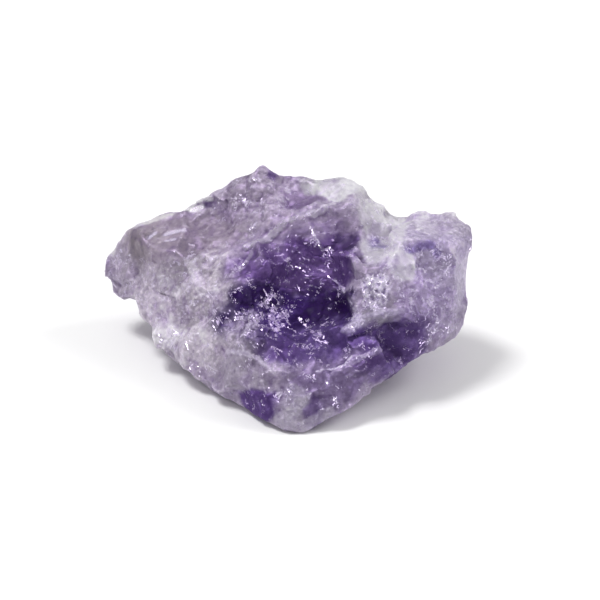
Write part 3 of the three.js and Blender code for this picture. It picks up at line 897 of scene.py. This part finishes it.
TINTS: tuple[Tint, ...] = (
    # the back
    Tint(Zone((6.0, 15.0, 9.0), 22, 14, 10, 25), (0.30, 0.22, 0.42), 0.70, 0.12, 0.7),
    Tint(Zone((-10.0, 14.0, 8.0), 12, 10, 10), (0.56, 0.52, 0.60), 0.85, 0.10, 0.7),
    Tint(Zone((20.0, 11.0, 8.0), 12, 12, 10), (0.36, 0.29, 0.48), 0.70, 0.12, 0.6),
    # the left mass, its slope and its tip
    Tint(Zone((-14.0, 2.0, 11.0), 26, 26, 20, 20), (0.50, 0.45, 0.53), 0.85, 0.28),
    Tint(Zone((-10.5, -6.0, 8.5), 9, 11, 9, 20), (0.60, 0.55, 0.62), 0.85, 0.22, 0.75),
    Tint(Zone((-13.9, 8.4, 16.2), 21, 8, 11, -6), (0.29, 0.24, 0.31), 0.80, 0.04),
    Tint(Zone((-19.8, 10.2, 13.9), 8, 5, 8, 20, 0.6), (0.29, 0.26, 0.27), 0.85, 0.05, 0.6),
    Tint(Zone((-12.0, 2.0, 13.6), 7, 7, 8, 0), (0.40, 0.37, 0.41), 0.85, 0.30, 0.6),
    Tint(Zone((-5.2, -0.5, 15.0), 5, 8, 6, 20), (0.32, 0.28, 0.36), 0.75, 0.30, 0.8),
    Tint(Zone((-16.1, -1.3, 5.7), 6.0, 4.0, 6, 0), (0.78, 0.75, 0.81), 0.9, 0.45, 0.85),
    Tint(Zone((-16.9, 3.8, 11.4), 1.5, 1.5, 3, 0, 0.2), (0.70, 0.66, 0.74), 0.85, 0.10, 0.7, 0.2),
    Tint(Zone((-15.8, 2.6, 11.7), 1.3, 1.2, 3, 0, 0.2), (0.66, 0.62, 0.70), 0.85, 0.10, 0.7, 0.2),
    Tint(Zone((-14.9, 1.3, 11.2), 1.7, 1.8, 3, 0, 0.2), (0.70, 0.66, 0.74), 0.85, 0.10, 0.7, 0.2),
    Tint(Zone((-9.4, -1.7, 12.9), 1.3, 1.5, 3, 0, 0.2), (0.66, 0.62, 0.70), 0.85, 0.10, 0.7, 0.2),
    # the crest, the lumps and the clear ridge
    Tint(Zone((-4.0, 10.5, 20.5), 13, 8, 9, 0), (0.40, 0.34, 0.45), 0.75, 0.32),
    Tint(Zone((2.4, 9.8, 20.9), 6, 4.5, 6, 0), (0.24, 0.17, 0.32), 0.6, 0.12, 0.8),
    Tint(Zone((7.4, 10.6, 22.6), 10, 3.8, 8, 0, 0.2), (0.84, 0.83, 0.87), 0.7, 0.10),
    Tint(Zone((13.0, 8.0, 20.5), 7, 6, 7, 0), (0.74, 0.72, 0.75), 0.65, 0.20, 0.85),
    Tint(Zone((-1.7, 13.3, 23.2), 1.7, 1.7, 3, 0), (0.15, 0.09, 0.28), 0.6, 0.10, 0.8, 0.3),
    Tint(Zone((-10.9, 13.4, 18.7), 1.4, 1.4, 3, 0), (0.15, 0.10, 0.26), 0.6, 0.10, 0.8, 0.3),
    # the block at the right
    Tint(Zone((20.0, 1.0, 16.5), 16, 18, 14, 0), (0.46, 0.40, 0.56), 0.75, 0.28),
    Tint(Zone((20.5, 5.5, 19.8), 14, 4.5, 7, 0), (0.60, 0.55, 0.66), 0.75, 0.18, 0.8),
    Tint(Zone((19.5, -6.0, 12.1), 10, 8, 8, 0), (0.45, 0.37, 0.57), 0.7, 0.50, 0.8),
    # the violet hollow, deepest low down
    Tint(Zone((2.1, 3.0, 18.0), 19, 9, 8, -10, 0.25), (0.46, 0.38, 0.54), 0.6, 0.08),
    Tint(Zone((3.0, 0.8, 15.0), 21, 9, 8, -8, 0.25), (0.135, 0.070, 0.25), 0.6, 0.13),
    Tint(Zone((0.6, -4.4, 10.4), 21, 9, 9, -4, 0.25), (0.030, 0.007, 0.105), 0.85, 0.42, 1.0),
    Tint(Zone((-3.8, -3.2, 12.6), 9, 3.2, 6, 10, 0.25), (0.018, 0.002, 0.07), 0.85, 0.45, 1.0, 0.5),
    Tint(Zone((6.3, -4.6, 11.2), 8, 7, 7, 0, 0.3), (0.014, 0.001, 0.055), 0.95, 0.08, 1.0),
    Tint(Zone((-3.0, -6.2, 10.3), 7, 6, 7, -25), (0.10, 0.05, 0.24), 0.75, 0.9, 0.9),
    Tint(Zone((4.5, -9.0, 9.0), 17, 6.5, 8, -8), (0.13, 0.075, 0.27), 0.6, 0.26),
    Tint(Zone((8.4, 2.1, 18.0), 4, 2.4, 5, 0), (0.04, 0.02, 0.10), 0.3, 0.05, 0.85),
    # the clear quartz beside the hollow, with its round lump
    Tint(Zone((13.7, 6.0, 20.0), 6.6, 9, 12, 0, 0.12), (0.76, 0.74, 0.79), 0.65, 0.30, 0.92, 0.2),
    Tint(Zone((13.6, 1.2, 18.2), 6.4, 8, 8, 0, 0.12), (0.76, 0.73, 0.80), 0.65, 0.25, 0.92, 0.2),
    Tint(Zone((15.8, -3.3, 17.8), 3.9, 4.9, 5, 0, 0.12), (0.86, 0.84, 0.90), 0.7, 0.10, 0.85, 0.3),
    Tint(Zone((15.8, -3.3, 17.7), 3.1, 4.1, 5, 0, 0.30), (0.60, 0.56, 0.66), 0.7, 0.10, 0.85, 0.3),
    # the front below the lip, the foot and the toe
    Tint(Zone((13.5, -9.0, 8.3), 14, 8, 9, -25), (0.12, 0.065, 0.25), 0.6, 0.26),
    Tint(Zone((6.0, -14.0, 6.0), 13, 7, 8, -20), (0.29, 0.22, 0.40), 0.65, 0.14),
    Tint(Zone((-5.3, -10.5, 6.3), 8, 6, 6, -25, 0.2), (0.38, 0.34, 0.42), 0.75, 0.10, 0.85),
    Tint(Zone((-3.4, -13.5, 2.4), 6.6, 5.4, 6, 0, 0.15), (0.12, 0.055, 0.27), 0.6, 0.24, 0.95, 0.5),
    Tint(Zone((2.6, -16.3, 1.6), 8, 3, 5, 0), (0.40, 0.35, 0.46), 0.7, 0.08, 0.8),
    Tint(Zone((1.4, -15.3, 3.9), 3.4, 4.6, 5, 0, 0.2), (0.60, 0.56, 0.66), 0.7, 0.20, 0.8, 0.5),
    Tint(Zone((3.9, -16.0, 2.4), 2.4, 4.6, 5, 0, 0.2), (0.20, 0.13, 0.34), 0.7, 0.08, 0.8, 0.5),
    Tint(Zone((-0.9, -10.1, 8.8), 6.5, 3.6, 5, -10, 0.25), (0.09, 0.045, 0.19), 0.7, 0.14, 0.8, 0.5),
    # clusters of flakes, and two violet spots
    Tint(Zone((-6.0, -7.0, 10.2), 6, 5, 5, 0), (0.50, 0.44, 0.56), 0.8, 0.60, 0.7),
    Tint(Zone((12.0, -6.1, 15.3), 3.6, 5.2, 5, 0), (0.66, 0.61, 0.75), 0.8, 1.0, 0.95, 0.5),
    Tint(Zone((9.6, -8.3, 11.9), 3.4, 2.0, 4, -35), (0.55, 0.49, 0.66), 0.8, 0.9, 0.9, 0.4),
    Tint(Zone((12.4, -7.4, 13.2), 6.5, 2.4, 4, 10), (0.42, 0.39, 0.47), 0.75, 0.15, 0.85),
    Tint(Zone((12.7, 2.0, 18.2), 2.6, 1.6, 5, 0, 0.5), (0.24, 0.19, 0.46), 0.65, 0.5, 0.7, 0.8),
    Tint(Zone((18.6, -0.8, 19.3), 4.6, 2.4, 5, 0, 0.5), (0.24, 0.17, 0.46), 0.65, 0.6, 0.7, 1.2),
)


class Socket:
    """One output of a shader node, with the usual signs for sums on numbers."""

    def __init__(self, tree: "Finish", link: bpy.types.NodeSocket) -> None:
        """Keeps the socket and the finish whose nodes it belongs to."""
        self.tree = tree
        self.link = link

    def _sum(self, operation: str, *others: "Socket | float") -> "Socket":
        """Adds a Math node on this socket and the others."""
        return self.tree.node("ShaderNodeMath", {"operation": operation}, dict(enumerate((self, *others))))

    def __add__(self, other: "Socket | float") -> "Socket":
        """Adds."""
        return self._sum("ADD", other)

    __radd__ = __add__

    def __sub__(self, other: "Socket | float") -> "Socket":
        """Takes away."""
        return self._sum("SUBTRACT", other)

    def __rsub__(self, other: float) -> "Socket":
        """Takes this socket away from a number."""
        return self.tree.node("ShaderNodeMath", {"operation": "SUBTRACT"}, {0: other, 1: self})

    def __mul__(self, other: "Socket | float") -> "Socket":
        """Multiplies."""
        return self._sum("MULTIPLY", other)

    __rmul__ = __mul__

    def limited(self) -> "Socket":
        """Returns the value held between 0 and 1."""
        return self.tree.node("ShaderNodeClamp", {}, {"Value": self})

    def stepped(self, low: float, high: float) -> "Socket":
        """Returns 0 at low, 1 at high and a smooth step between them."""
        return self.tree.node(
            "ShaderNodeMapRange",
            {"interpolation_type": "SMOOTHSTEP"},
            {"Value": self, "From Min": low, "From Max": high},
        )


class Finish:
    """A material being made: it adds nodes, and gives back their outputs as sockets."""

    def __init__(self, name: str, tree: bpy.types.NodeTree | None = None) -> None:
        """Starts an empty material of that name, or works on a tree that is given."""
        if tree is None:
            self.material = bpy.data.materials.new(name)
            self.material.use_nodes = True
            tree = self.material.node_tree
            tree.nodes.clear()
        self.nodes = tree.nodes
        self.links = tree.links

    def node(
        self,
        kind: str,
        settings: dict[str, object],
        inputs: dict[int | str, "Socket | float | Triple"],
        output: int | str = 0,
    ) -> Socket:
        """Adds a node.

        Args:
            kind: the node's type.
            settings: what is set on the node itself.
            inputs: the value or link of each socket, by name or number.
            output: which output to give back.

        Returns:
            That output.
        """
        made = self.nodes.new(kind)
        for name, value in settings.items():
            setattr(made, name, value)
        for key, value in inputs.items():
            if isinstance(value, Socket):
                self.links.new(value.link, made.inputs[key])
            else:
                made.inputs[key].default_value = value
        return Socket(self, made.outputs[output])

    def mixed(self, share: Socket | float, first: Socket | Triple, second: Socket | Triple) -> Socket:
        """Mixes two colours: the first at share 0, the second at share 1."""
        values = {"Factor": share, 6: first, 7: second}
        padded = {k: (*v, 1.0) if isinstance(v, tuple) else v for k, v in values.items()}
        return self.node("ShaderNodeMix", {"data_type": "RGBA"}, padded, 2)

    def toward(self, first: Socket, second: Socket, share: Socket) -> Socket:
        """Turns a direction towards another one by a share."""
        inputs = {"Factor": share, 4: first, 5: second}
        return self.node("ShaderNodeMix", {"data_type": "VECTOR"}, inputs, 1)

    def highest(self, first: Socket | float, second: Socket) -> Socket:
        """Returns the greater of two numbers."""
        return self.node("ShaderNodeMath", {"operation": "MAXIMUM"}, {0: first, 1: second})

    def attribute(self, name: str, output: str = "Fac") -> Socket:
        """Reads what the mesh stores under that name."""
        return self.node("ShaderNodeAttribute", {"attribute_name": name}, {}, output)

    def channel(self, colour: Socket, number: int) -> Socket:
        """Returns one of the three numbers of a colour."""
        return self.node("ShaderNodeSeparateColor", {}, {0: colour}, number)

    def times(self, colour: Socket, factors: Triple) -> Socket:
        """Multiplies a colour or a vector, number by number."""
        return self.vector("MULTIPLY", colour, factors)

    def vector(self, operation: str, *values: Socket | Triple) -> Socket:
        """Adds a Vector Math node on the values."""
        return self.node("ShaderNodeVectorMath", {"operation": operation}, dict(enumerate(values)))

    def noise(self, place: Socket, scale: float, detail: float = 3.0, rough: float = 0.55) -> Socket:
        """Returns noise from 0 to 1 round 0.5, with that many waves to a millimetre."""
        inputs = {"Vector": place, "Scale": scale, "Detail": detail, "Roughness": rough}
        return self.node("ShaderNodeTexNoise", {}, inputs, "Fac")

    def cells(self, place: Socket, scale: float) -> Socket:
        """Returns a random colour for each cell round scattered seeds."""
        return self.node("ShaderNodeTexVoronoi", {}, {"Vector": place, "Scale": scale}, "Color")


# the way out of the front of the stone, and the random colour that leaves a flake's lean as it is
OUTWARDS: Triple = (0.0, -0.6, 0.8)
EVEN: Triple = (0.5, 0.5, 0.8)


@dataclass(frozen=True)
class Flakes:
    """A family of flakes: the way they are drawn out, and their length and width in millimetres.

    Short ones keep out of the deepest quartz, and have no dull strands among them.
    """

    streak: Triple
    length: float
    width: float
    short: bool = False


FLAKES: tuple[Flakes, ...] = (
    Flakes(RISING_STREAK, 0.28, 0.15, short=True),
    Flakes(RISING_STREAK, 1.20, 0.13),
    Flakes(STEEP_STREAK, 1.40, 0.13),
    Flakes(LEVEL_STREAK, 1.90, 0.13),
)


@dataclass(frozen=True)
class Amethyst:
    """The finish of the stone: glassy violet quartz with milky parts and small bright flakes."""

    light: Vector
    refraction: float = 1.544
    absorbed: Triple = (0.62, 0.34, 0.84)
    density: float = 120.0
    specular: float = 0.36
    sheen: Triple = (0.82, 0.62, 1.0)
    scatter: float = 0.0007
    scattered: float = 0.85
    bump: float = 0.00005
    deeper: Triple = (0.66, 0.58, 0.78)
    paler: Triple = (1.45, 1.45, 1.40)
    grit_pale: Triple = (1.60, 1.60, 1.60)
    grit_deep: Triple = (0.65, 0.60, 0.70)
    strand: Triple = (0.62, 0.55, 0.74)
    flake: Triple = (0.86, 0.79, 0.97)
    deep_flake: Triple = (0.86, 0.71, 1.0)

    def material(self) -> bpy.types.Material:
        """Builds the material.

        Returns:
            The material: a glassy shader and a milky one, mixed by how cloudy the quartz is.
        """
        made = Finish("amethyst_quartz")
        place = made.times(made.node("ShaderNodeTexCoord", {}, {}, "Object"), (1 / MM,) * 3)
        colour = made.attribute("tint", "Color")
        cloud = made.attribute("milk")
        rough = made.attribute("gloss")
        spark = made.attribute("spark")
        tone = made.node("ShaderNodeRGBToBW", {}, {0: colour})
        deep = tone.stepped(0.34, 0.10)
        speck = made.noise(place, 1.7, 5.0, 0.65)
        grain = made.noise(place, 4.5, 3.0, 0.6)
        bump = {"Strength": 0.3, "Distance": self.bump, "Height": grain}
        normal = made.node("ShaderNodeBump", {}, bump, "Normal")

        calm = tone.stepped(0.80, 0.45) * 0.7 + 0.3
        colour = self.speckled(made, place, colour, speck, calm, spark.stepped(0.05, 0.22) * calm)
        wavy = made.vector("ADD", place, self.drift(made, place, 1.2, 0.35))
        colour, normal, flakes = self.flaked(made, place, wavy, colour, normal, spark, deep)
        normal, flakes = self.chipped(made, wavy, normal, flakes, spark)
        normal, flakes = self.marked(made, place, grain, normal, flakes)
        bright = made.mixed(deep, self.flake, self.deep_flake)
        colour = made.mixed(flakes * 0.9, colour, bright)
        cloud = (cloud + (speck - 0.5) * 0.5 + flakes).limited()
        rough = rough + deep * 0.22 - flakes * 0.24
        mirror = made.highest(flakes * (deep * 0.35 + 0.45), deep * 0.6)

        glass = self.shader(made, colour, rough, normal, 0.0, 1.0, 0.0)
        milk = self.shader(made, colour, rough + 0.04, normal, mirror, 0.0, self.scattered)
        surface = made.node("ShaderNodeMixShader", {}, {0: cloud, 1: glass, 2: milk})
        inside = {"Color": (*self.absorbed, 1.0), "Density": self.density}
        inside = made.node("ShaderNodeVolumeAbsorption", {}, inside)
        out = made.nodes.new("ShaderNodeOutputMaterial")
        made.links.new(surface.link, out.inputs["Surface"])
        made.links.new(inside.link, out.inputs["Volume"])
        return made.material

    def speckled(
        self, made: Finish, place: Socket, colour: Socket, speck: Socket, calm: Socket, gritty: Socket
    ) -> Socket:
        """Mottles the colour with soft specks and with sharp grit.

        Args:
            made: the material.
            place: where it is, in millimetres.
            colour: the colour so far.
            speck: the noise of the soft specks.
            calm: how strong the soft specks are.
            gritty: how strong the grit is.

        Returns:
            The mottled colour.
        """
        deeper = made.times(colour, self.deeper)
        paler = made.times(colour, self.paler)
        colour = made.mixed(speck.stepped(0.50, 0.34) * calm * 0.7, colour, deeper)
        colour = made.mixed(speck.stepped(0.52, 0.70) * calm * 0.6, colour, paler)
        grit = made.channel(made.cells(place, 3.0), 0)
        pale = made.times(colour, self.grit_pale)
        colour = made.mixed(grit.stepped(0.6, 1.0) * gritty * 0.4, colour, pale)
        dark = made.times(colour, self.grit_deep)
        return made.mixed(grit.stepped(0.4, 0.0) * gritty * 0.4, colour, dark)

    def flaked(
        self,
        made: Finish,
        place: Socket,
        wavy: Socket,
        colour: Socket,
        normal: Socket,
        spark: Socket,
        deep: Socket,
    ) -> tuple[Socket, Socket, Socket]:
        """Adds the families of flakes: bright ones that face the key light, and dull strands.

        Each family lives in patches of its own. A flake is a cell of space that is drawn out
        along the family's streak, and it is there where its random number and the wealth of the
        place come to 1.

        Args:
            made: the material.
            place: where it is, in millimetres.
            wavy: the same, bent a little.
            colour: the colour so far.
            normal: the normal so far.
            spark: how rich the place is in flakes.
            deep: how deep the quartz's colour is.

        Returns:
            The new colour and normal, and how much of a bright flake there is.
        """
        flakes: Socket | float = 0.0
        strands: Socket | float = 0.0
        cluster = made.noise(place, 0.8, 4.0, 0.65).stepped(0.48, 0.62) * 1.5 + 0.04
        for number, family in enumerate(FLAKES):
            random = made.cells(self.along(made, wavy, family), 1.0)
            strength, dull, chance = (made.channel(random, k) for k in range(3))
            apart = made.vector("ADD", place, (17.0 * number, 0.0, 5.0))
            here = made.noise(apart, 0.33, 1.0).stepped(0.48, 0.56)
            wealth = spark * (1.0 - deep) * 0.7 if family.short else spark
            rich = wealth * cluster * here
            pick = (chance + rich * 0.8).stepped(1.0, 1.03) * rich.stepped(0.04, 0.12)
            normal = made.toward(normal, self.flake_normal(made, normal, random), pick)
            flakes = made.highest(flakes, pick * (strength * strength * 0.85 + 0.05))
            if not family.short:
                strand = chance.stepped(0.77, 0.80) * rich.stepped(0.03, 0.16)
                strands = made.highest(strands, strand * dull)
        return made.mixed(strands * 0.8, colour, self.strand), normal, flakes

    def chipped(
        self, made: Finish, wavy: Socket, normal: Socket, flakes: Socket, spark: Socket
    ) -> tuple[Socket, Socket]:
        """Adds broad bright chips where the quartz is richest, to the normal and the flakes."""
        random = made.cells(wavy, 2.0)
        chip = (made.channel(random, 2) + spark.stepped(0.70, 1.0) * 0.5).stepped(1.0, 1.03)
        normal = made.toward(normal, self.flake_normal(made, normal, random), chip)
        return normal, made.highest(flakes, chip * made.channel(random, 0))

    def marked(
        self, made: Finish, place: Socket, grain: Socket, normal: Socket, flakes: Socket
    ) -> tuple[Socket, Socket]:
        """Adds the shining marks, frayed by noise, to the normal and the flakes."""
        glint = made.attribute("glint")
        glint = (glint + made.noise(place, 2.2, 3.0) * 0.6 - 0.3).stepped(1.0, 1.05)
        normal = made.toward(normal, self.flake_normal(made, normal, EVEN), glint)
        return normal, made.highest(flakes, glint * (grain.stepped(0.35, 0.65) * 0.7 + 0.3))

    def along(self, made: Finish, place: Socket, family: Flakes) -> Socket:
        """Measures space in flakes: their length along the streak, their width across it."""
        way = Vector(family.streak).normalized()
        side = Vector(OUTWARDS).cross(way).normalized()
        turn = Matrix((way, side, way.cross(side))).transposed().to_euler("XYZ")
        size = (family.length, family.width, family.width)
        inputs = {"Vector": place, "Rotation": tuple(turn), "Scale": size}
        return made.node("ShaderNodeMapping", {"vector_type": "TEXTURE"}, inputs)

    def drift(self, made: Finish, place: Socket, scale: float, reach: float) -> Socket:
        """Returns a slow random way to go, of up to about half the reach."""
        inputs = {"Vector": place, "Scale": scale, "Detail": 2.0}
        noise = made.node("ShaderNodeTexNoise", {}, inputs, "Color")
        return made.times(made.vector("SUBTRACT", noise, (0.5, 0.5, 0.5)), (reach * 2,) * 3)

    def flake_normal(self, made: Finish, normal: Socket, random: Socket | Triple) -> Socket:
        """Leans a flake's normal half-way towards the key light, give or take some."""
        lean = made.vector("ADD", normal, tuple(self.light * 1.1))
        jitter = made.times(made.vector("SUBTRACT", random, EVEN), (0.9,) * 3)
        return made.vector("NORMALIZE", made.vector("ADD", lean, jitter))

    def shader(
        self,
        made: Finish,
        colour: Socket,
        rough: Socket,
        normal: Socket,
        mirror: Socket | float,
        transmission: float,
        subsurface: float,
    ) -> Socket:
        """Adds one Principled shader.

        Args:
            made: the material.
            colour: its base colour.
            rough: its roughness.
            normal: its normal.
            mirror: how much it reflects as a crack inside the quartz does.
            transmission: how much light goes through.
            subsurface: how much light spreads under the surface.

        Returns:
            The shader's output.
        """
        return made.node(
            "ShaderNodeBsdfPrincipled",
            {},
            {
                "Base Color": colour,
                "Roughness": rough,
                "Normal": normal,
                "Metallic": mirror,
                "Specular IOR Level": self.specular,
                "Specular Tint": (*self.sheen, 1.0),
                "IOR": self.refraction,
                "Transmission Weight": transmission,
                "Subsurface Weight": subsurface,
                "Subsurface Radius": (1.0, 1.0, 1.0),
                "Subsurface Scale": self.scatter,
            },
        )


@dataclass
class Studio:
    """The pale floor, the soft lights and the camera."""

    floor_half: float = 1500.0
    floor_drop: float = 0.05
    aim: Triple = (2.146, 0.0, 10.504)
    distance: float = 228.696
    elevation: float = 30.0
    lens: float = 100.0
    sensor: float = 36.0
    sky: float = 0.55
    horizon: float = 0.30
    key: Triple = (-450.0, 120.0, 1150.0)
    side: Triple = (900.0, 150.0, 800.0)

    def build(self) -> None:
        """Makes the floor, the world, the lights and the camera."""
        self.floor()
        self.world()
        self.softbox("key_light", self.key, 340.0, 9.0)
        self.softbox("right_light", self.side, 420.0, 4.5)
        self.camera()

    def back(self) -> Vector:
        """Returns the direction from the stone to the camera."""
        rise = math.radians(self.elevation)
        return Vector((0.0, -math.cos(rise), math.sin(rise)))

    def shine(self) -> Vector:
        """Returns the way a flat faces that throws the key light at the camera: half-way between."""
        return (self.light() + self.back()).normalized()

    def light(self) -> Vector:
        """Returns the direction from the stone to the key light."""
        return (Vector(self.key) - Vector(self.aim)).normalized()

    def floor(self) -> None:
        """Makes a wide plain pale floor just under the stone."""
        side = np.array([-1.0, 1.0]) * self.floor_half * MM
        x, y = np.meshgrid(side, side)
        corners = np.stack([x.ravel(), y.ravel(), np.full(4, -self.floor_drop * MM)], axis=1)
        mesh = bpy.data.meshes.new("pale_floor")
        mesh.from_pydata(corners.tolist(), [], [(0, 1, 3, 2)])
        floor = bpy.data.objects.new("pale_floor", mesh)
        bpy.context.scene.collection.objects.link(floor)
        made = Finish("floor_white")
        inputs = {"Base Color": (0.93, 0.93, 0.93, 1.0), "Roughness": 0.7, "Specular IOR Level": 0.1}
        surface = made.node("ShaderNodeBsdfPrincipled", {}, inputs)
        out = made.nodes.new("ShaderNodeOutputMaterial")
        made.links.new(surface.link, out.inputs["Surface"])
        mesh.materials.append(made.material)

    def world(self) -> None:
        """Surrounds the scene with soft white that grows brighter upwards."""
        world = bpy.data.worlds.new("white_surround")
        bpy.context.scene.world = world
        world.use_nodes = True
        world.node_tree.nodes.clear()
        made = Finish("", world.node_tree)
        way = made.node("ShaderNodeTexCoord", {}, {}, "Generated")
        up = made.node("ShaderNodeSeparateXYZ", {}, {0: way}, "Z")
        light = up.stepped(-0.1, 0.9) * (self.sky - self.horizon) + self.horizon
        back = made.node("ShaderNodeBackground", {}, {"Color": (1.0, 1.0, 1.0, 1.0), "Strength": light})
        out = made.nodes.new("ShaderNodeOutputWorld")
        made.links.new(back.link, out.inputs["Surface"])

    def softbox(self, name: str, place: Triple, side: float, power: float) -> None:
        """Hangs a square soft light that looks at the stone.

        Args:
            name: the light's name.
            place: where it hangs, in millimetres.
            side: its width in millimetres.
            power: its power in watts.
        """
        light = bpy.data.lights.new(name, "AREA")
        light.size = side * MM
        light.energy = power
        hung = bpy.data.objects.new(name, light)
        bpy.context.scene.collection.objects.link(hung)
        hung.location = Vector(place) * MM
        aim = Vector(self.aim) * MM - hung.location
        hung.rotation_euler = aim.to_track_quat("-Z", "Y").to_euler()

    def camera(self) -> None:
        """Sets the camera at the photograph's angle, with no depth of field."""
        lens = bpy.data.cameras.new("camera")
        lens.lens = self.lens
        lens.sensor_width = self.sensor
        lens.clip_start = 0.01
        lens.clip_end = 10.0
        camera = bpy.data.objects.new("camera", lens)
        bpy.context.scene.collection.objects.link(camera)
        camera.location = (Vector(self.aim) + self.back() * self.distance) * MM
        camera.rotation_mode = "QUATERNION"
        camera.rotation_quaternion = (-self.back()).to_track_quat("-Z", "Y")
        bpy.context.scene.camera = camera
        bpy.context.scene.view_settings.view_transform = "Standard"


def main() -> None:
    """Builds the stone and the studio."""
    logging.basicConfig(level=logging.INFO, format="%(name)s: %(message)s")
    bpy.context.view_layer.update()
    studio = Studio()
    studio.build()
    stone = StoneSkin(studio.shine()).build(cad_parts[STONE_NODE])
    stone.data.materials.clear()
    stone.data.materials.append(Amethyst(studio.light()).material())
    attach(stone, "root")
    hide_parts(STONE_NODE)
    LOG.info("%s has %d faces", stone.name, len(stone.data.polygons))


if __name__ == "__main__":
    main()
